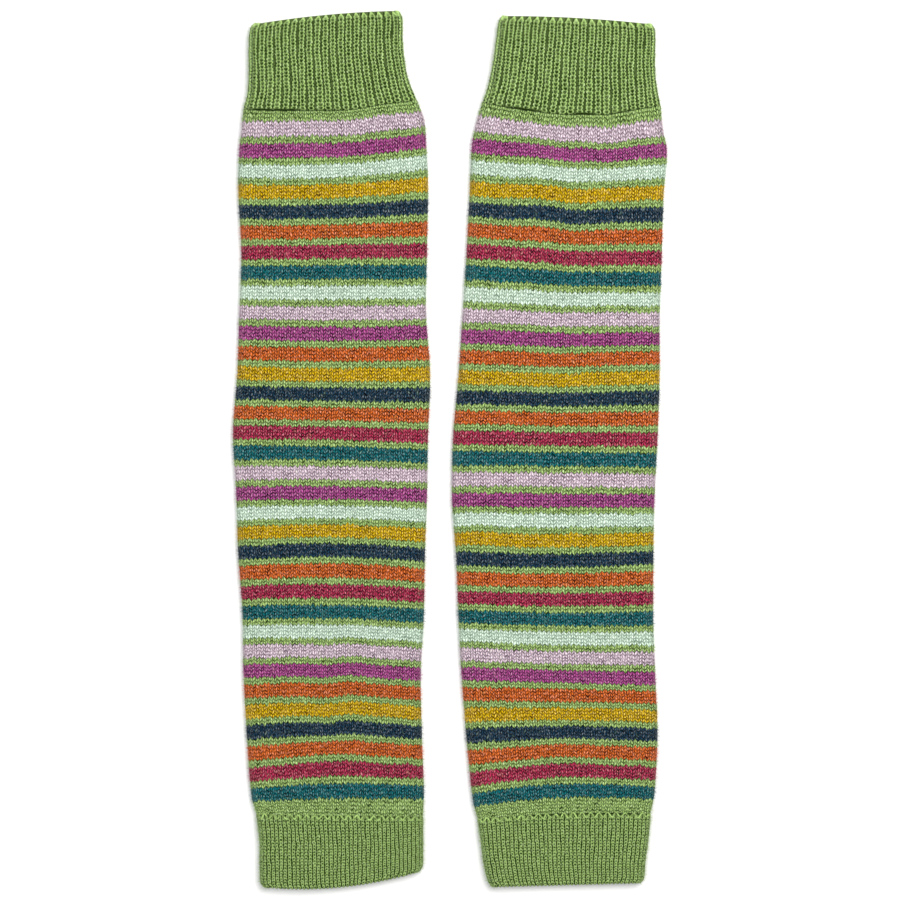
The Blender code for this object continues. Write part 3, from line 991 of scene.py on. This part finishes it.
def stripe_colours(add, course, colours, chance):
    """The leg's colour at a course: stripes of four courses with two ground courses between, and
    here and there a stitch that takes up some of the ground colour."""
    count = len(STRIPE_ORDER)
    below = add(MINUS, course, float(FIRST_STRIPE))
    number = add(WHOLE, add(OVER, below, float(REPEAT_COURSES)))
    middle = add(PLUS, add(MODULO, number, float(count)), 0.5)
    chart = add("ShaderNodeValToRGB", add(OVER, middle, float(count)))
    ramp = chart.node.color_ramp
    ramp.interpolation = "CONSTANT"
    for index, name in enumerate(STRIPE_ORDER):
        stop = ramp.elements[0] if index == 0 else ramp.elements.new(index / count)
        stop.color = getattr(colours, name)
    ramp.elements.remove(ramp.elements[count])

    within = add(MODULO, below, float(REPEAT_COURSES))
    in_stripe = add(MATH, within, float(STRIPE_COURSES), operation="LESS_THAN")
    last = float(STRIPES * REPEAT_COURSES - REPEAT_COURSES + STRIPE_COURSES)
    after_first = add(MATH, below, 0.0, operation="GREATER_THAN")
    before_last = add(MATH, below, last, operation="LESS_THAN")
    share = add(MAP_RANGE, chance, 0.93, 1.0, 1.0, 0.86)
    for part in (in_stripe, after_first, before_last):
        share = add(TIMES, share, part)
    return add(MIX, share, named={COLOUR_A: tuple(colours.green), COLOUR_B: chart}, **COLOURS)


def linking_wool():
    """The same spun wool as one round yarn: its plies and fibres show as a fine mottle of depth."""
    material, add = new_material("linking_yarn_wool")
    place = add(COORDINATES, output="Object")
    fibres = add(NOISE, place, None, *FIBRES)
    patches = add(NOISE, place, None, *LINK_PATCHES)
    mottle = add(TIMES_PLUS, fibres, 0.5, patches)
    tone = add(MAP_RANGE, mottle, 0.55, 0.95, 0.3, 1.1)
    yarn = tuple(bpy.context.scene.yarn_colours.green[:3])
    wool = add(SCALED, yarn, named={"Scale": tone})
    end_wool(add, wool, fibres, fibres)
    return material


def fuzz_wool(name, stripes=False):
    """Loose ends of the spun fleece: fine and matt, and a little paler than the yarn under them."""
    colours = bpy.context.scene.yarn_colours
    material, add = new_material(name)
    root = add(ATTRIBUTE, attribute_name="root", output="Vector")
    chance = add(WHITE_NOISE, root)
    yarn = tuple(colours.green)
    if stripes:
        course = add(SEPARATE, root, output="Y")
        yarn = stripe_colours(add, course, colours, chance)
    paler = {COLOUR_A: yarn, COLOUR_B: linear(FIBRE_END_AND_SHEEN)}
    pale = add(MIX, FUZZ_PALENESS, named=paler, **COLOURS)
    tone = add(MAP_RANGE, chance, 0.0, 1.0, 0.8, 1.1)
    wool = add(SCALED, pale, named={"Scale": tone})
    surface = {"Base Color": wool, "Roughness": 0.9, "IOR": 1.5, "Specular IOR Level": 0.1}
    add(MATERIAL_OUTPUT, add(PRINCIPLED, named=surface))
    return material


def floor_material():
    """Matt white card, pressed smooth: near white, with a faint mottle and no gloss."""
    material, add = new_material("matt_white_card")
    mottle = add(NOISE, add(COORDINATES, output="Object"), None, *CARD_MOTTLE)
    shade = add(MAP_RANGE, mottle, 0.3, 0.7, 0.9, 0.93)
    surface = {"Base Color": shade, "Roughness": 0.9, "Specular IOR Level": 0.1}
    add(MATERIAL_OUTPUT, add(PRINCIPLED, named=surface))
    return material


def knit_stretch(node, knit, slot, reliefs, stitches, wool, fuzz_material, link_wool=None):
    """Knits the stretch that a node stands for, with its stitches raised, its loose fibres and,
    where it has a linking wool, its linking row, attaches them to the root body and hides the
    node's own solid."""
    sizes = bpy.context.scene.knit_sizes
    rows = ROWS[node]
    knitted = knit_shell(f"{node}_knit", knit, rows, sum(reliefs))
    inputs = {
        "Yarn relief": reliefs[0],
        "Column relief": reliefs[1],
        "Waviness": sizes.waviness,
        "Seed": sizes.seed,
        "Wool": wool,
    }
    apply_tree(knitted, "Knit stitches", stitch_tree, {**inputs, **stitches})
    loose = []
    if link_wool:
        loose.append(linking_path(node.replace("bottom_cuff", "linking_row"), rows))
        apply_tree(loose[0], "Linking row", linking_tree, {"Wool": link_wool})
    fuzz = add_object(f"{node}_fuzz", knitted.data.copy())
    inputs = {"Courses": float(knit.courses), "Seed": sizes.seed, "Wool": fuzz_material}
    apply_tree(fuzz, "Wool fuzz", fuzz_tree, inputs)
    loose.append(fuzz)
    for piece in (*loose, knitted):
        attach(piece, "root")
    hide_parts(node)
    flat_size(rows, knit.courses)


class LEGWARMERS_OT_knit_top_cuffs(Operator):
    """Knits the two ribbed top cuffs"""

    bl_idname = "legwarmers.knit_top_cuffs"
    bl_label = "Top cuffs"

    def execute(self, context):
        sizes = context.scene.knit_sizes
        reliefs = (sizes.yarn_relief, sizes.rib_relief)
        stitches = {"Raised every": 2, "Slant": -0.55, "Notch": 0.5, "Looseness": 0.6, "Wander": 1.0}
        wools = (wool_material("rib_knit_wool", RIB_GAPS), fuzz_wool("rib_fuzz_wool"))
        for side in SIDES:
            knit_stretch(f"{side}_top_cuff", RIB_KNIT, "green_rib_knit", reliefs, stitches, *wools)
        return {"FINISHED"}


class LEGWARMERS_OT_knit_legs(Operator):
    """Knits the two plain legs with their stripes"""

    bl_idname = "legwarmers.knit_legs"
    bl_label = "Striped legs"

    def execute(self, context):
        sizes = context.scene.knit_sizes
        reliefs = (sizes.yarn_relief, sizes.column_relief)
        stitches = {"Raised every": 1, "Slant": 0.85, "Looseness": 0.8, "Wander": 0.8}
        wool = wool_material("striped_plain_knit_wool", PLAIN_GAPS, stripes=True)
        wools = (wool, fuzz_wool("striped_fuzz_wool", stripes=True))
        for side in SIDES:
            knit_stretch(f"{side}_leg", PLAIN_KNIT, "striped_plain_knit", reliefs, stitches, *wools)
        return {"FINISHED"}


class LEGWARMERS_OT_knit_bottom_cuffs(Operator):
    """Knits the two fine bottom cuffs and the zigzag rows that link them to the legs"""

    bl_idname = "legwarmers.knit_bottom_cuffs"
    bl_label = "Bottom cuffs"

    def execute(self, context):
        stitches = {"Raised every": 1, "Slant": -0.45, "Notch": 0.6, "Looseness": 0.7, "Wander": 0.9}
        stitches["Seed"] = context.scene.knit_sizes.seed + 1
        wools = (wool_material("fine_cuff_knit_wool", CUFF_GAPS), fuzz_wool("cuff_fuzz_wool"))
        wools += (linking_wool(),)
        slot = "green_cuff_knit"
        for side in SIDES:
            knit_stretch(f"{side}_bottom_cuff", CUFF_KNIT, slot, CUFF_RELIEFS, stitches, *wools)
        return {"FINISHED"}


def add_lamp(name, place, size, power, colour):
    """A square soft lamp that faces the middle of the pair."""
    data = bpy.data.lights.new(name, "AREA")
    data.shape = "SQUARE"
    data.size = size
    data.energy = power
    data.color = colour
    lamp = add_object(name, data)
    lamp.location = place
    lamp.rotation_euler = (-Vector(place)).to_track_quat("-Z", "Y").to_euler()


class LEGWARMERS_OT_set_stage(Operator):
    """Sets the floor, the lamps and the camera that looks straight down"""

    bl_idname = "legwarmers.set_stage"
    bl_label = "Floor, lamps and camera"

    def execute(self, context):
        studio = context.scene.studio_sizes
        mesh = bpy.data.meshes.new("floor")
        turns = ((-1, -1), (1, -1), (1, 1), (-1, 1))
        corners = [(x * FLOOR_HALF, y * FLOOR_HALF, -FLOOR_DROP) for x, y in turns]
        mesh.from_pydata(corners, [], [(0, 1, 2, 3)])
        mesh.materials.append(floor_material())
        floor = add_object("floor", mesh)

        add_lamp("key_lamp", (0.4, 0.4, 1.2), 1.1, studio.key_power, (1.0, 0.99, 0.97))
        add_lamp("fill_lamp", (-0.8, -0.3, 1.2), 1.0, studio.fill_power, (0.97, 0.98, 1.0))
        world = bpy.data.worlds.new("studio_air")
        world.use_nodes = True
        sky = world.node_tree.nodes["Background"]
        sky.inputs["Color"].default_value = (1.0, 1.0, 1.0, 1.0)
        sky.inputs["Strength"].default_value = SKY_STRENGTH
        context.scene.world = world

        data = bpy.data.cameras.new("camera")
        data.lens = data.sensor_width * studio.camera_height / studio.picture_width
        camera = add_object("camera", data)
        camera.location = (0.0, 0.0, studio.camera_height)
        context.scene.camera = camera
        context.scene.view_settings.view_transform = "Standard"
        return {"FINISHED"}


OPERATORS = (
    LEGWARMERS_OT_knit_top_cuffs,
    LEGWARMERS_OT_knit_legs,
    LEGWARMERS_OT_knit_bottom_cuffs,
    LEGWARMERS_OT_set_stage,
)
GROUPS = {"yarn_colours": YarnColours, "knit_sizes": KnitSizes, "studio_sizes": StudioSizes}


class LEGWARMERS_PT_sidebar(Panel):
    """Lists the pieces of the pair and their sizes"""

    bl_idname = "LEGWARMERS_PT_sidebar"
    bl_label = "Leg warmers"
    bl_space_type = "VIEW_3D"
    bl_region_type = "UI"
    bl_category = "Leg warmers"

    def draw(self, context):
        for name, group in GROUPS.items():
            for title in group.__annotations__:
                self.layout.prop(getattr(context.scene, name), title)
        for operator in OPERATORS:
            self.layout.operator(operator.bl_idname)


def register():
    for part in (*GROUPS.values(), *OPERATORS, LEGWARMERS_PT_sidebar):
        bpy.utils.register_class(part)
    for name, group in GROUPS.items():
        setattr(bpy.types.Scene, name, PointerProperty(type=group))


def unregister():
    for name in GROUPS:
        delattr(bpy.types.Scene, name)
    for part in (LEGWARMERS_PT_sidebar, *reversed(OPERATORS), *GROUPS.values()):
        bpy.utils.unregister_class(part)


def main():
    register()
    bpy.ops.legwarmers.knit_top_cuffs()
    bpy.ops.legwarmers.knit_legs()
    bpy.ops.legwarmers.knit_bottom_cuffs()
    bpy.ops.legwarmers.set_stage()


if __name__ == "__main__":
    main()
